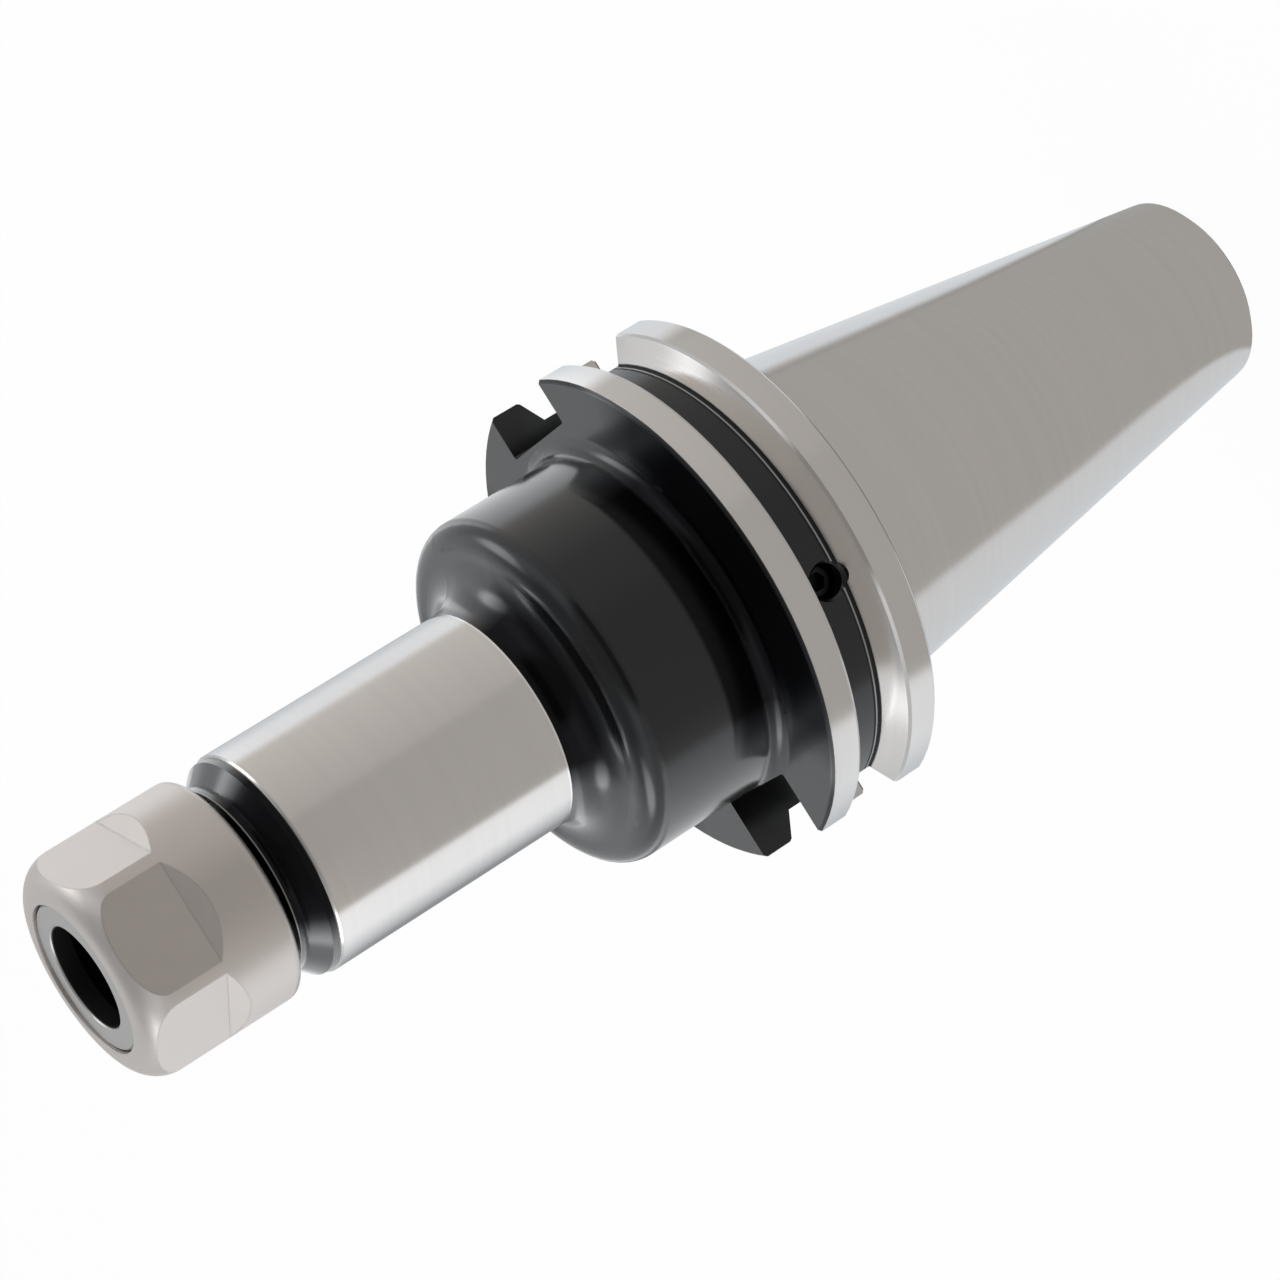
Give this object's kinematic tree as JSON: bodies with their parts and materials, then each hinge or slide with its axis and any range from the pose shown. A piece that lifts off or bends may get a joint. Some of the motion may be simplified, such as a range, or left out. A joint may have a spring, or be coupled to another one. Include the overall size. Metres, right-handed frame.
{
  "type": "collet chuck holder",
  "caption": "Steep taper collet chuck holder: V-grooved flange with drive slots, black collar, slim ground nose and hex clamping nut.",
  "frame": {"origin": "on the axis at the gauge line of the spindle taper, where it measures 44.45 mm across", "axes": "+Z along the axis towards the nose and its nut, +X towards the shallow drive slot"},
  "size_m": [0.0614, 0.0634, 0.1683],
  "materials": {
    "body_steel": "ground bright on the taper, rims and nose, gloss black oxide between",
    "nut_satin": "satin nickel",
    "ring_steel": "ground",
    "spring_steel": "plain spring steel",
    "screw_black": "black oxide"
  },
  "bodies": {
    "chuck": {"chuck_body": "body_steel", "groove_screw_near": "screw_black", "groove_screw_far": "screw_black"},
    "ring": {"thrust_ring": "ring_steel"},
    "nut": {"clamping_nut": "nut_satin", "snap_ring": "spring_steel"},
    "stop": {"stop_screw": "screw_black"}
  },
  "joints": [
    {"name": "nut_travel", "type": "slide", "parent": "chuck", "child": "ring", "axis": [0, 0, 1], "range_m": [0, 0.0105]},
    {"name": "nut_turn", "type": "hinge", "parent": "ring", "child": "nut", "pos_m": [0, 0, 0.09], "axis": [0, 0, 1], "range_deg": [0, 2520]},
    {"name": "stop_screw_travel", "type": "slide", "parent": "chuck", "child": "stop", "axis": [0, 0, 1], "range_m": [0, 0.025]}
  ],
  "couplings": [
    {"joint": "nut_travel", "follows": "nut_turn", "m_per_rad": 0.00023873}
  ]
}
